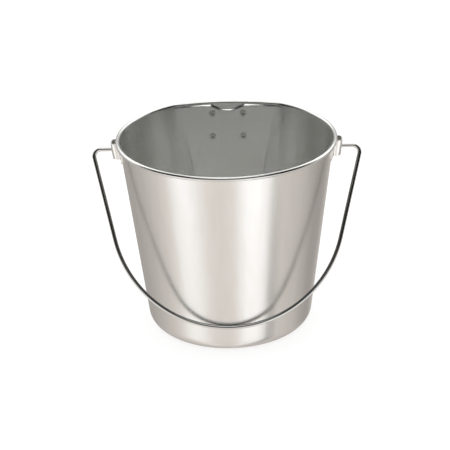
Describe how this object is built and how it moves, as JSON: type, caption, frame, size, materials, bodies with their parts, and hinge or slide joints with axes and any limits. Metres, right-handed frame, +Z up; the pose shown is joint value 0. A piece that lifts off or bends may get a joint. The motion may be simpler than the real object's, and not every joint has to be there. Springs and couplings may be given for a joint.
{
  "type": "flat-sided pail",
  "caption": "Tapered stainless pail with one flat side, rolled rim, strap ears, swinging wire bail and hanging hooks.",
  "frame": {"origin": "on the axis of the round wall, at the bottom's outer face", "axes": "+Z up along the pail's axis, +Y out of the flat side, +X along the bail's axis"},
  "size_m": [0.3164, 0.2637, 0.236],
  "materials": {
    "drawn_sheet": "bright rolled stainless sheet with fine streaks",
    "ear_steel": "bright pressed stainless",
    "bail_wire": "polished drawn stainless wire",
    "hook_steel": "satin pressed stainless",
    "rivet_steel": "dull stainless rivet"
  },
  "bodies": {
    "pail": {"pail_shell": "drawn_sheet", "ear_left": "ear_steel", "ear_right": "ear_steel", "hook_left": "hook_steel", "hook_right": "hook_steel", "rivet_upper_left": "rivet_steel", "rivet_upper_right": "rivet_steel", "rivet_lower_left": "rivet_steel", "rivet_lower_right": "rivet_steel"},
    "handle": {"bail": "bail_wire"}
  },
  "joints": [
    {"name": "bail_swing", "type": "hinge", "parent": "pail", "child": "handle", "pos_m": [0, 0, 0.221], "axis": [-1, 0, 0], "range_deg": [0, 300]}
  ]
}
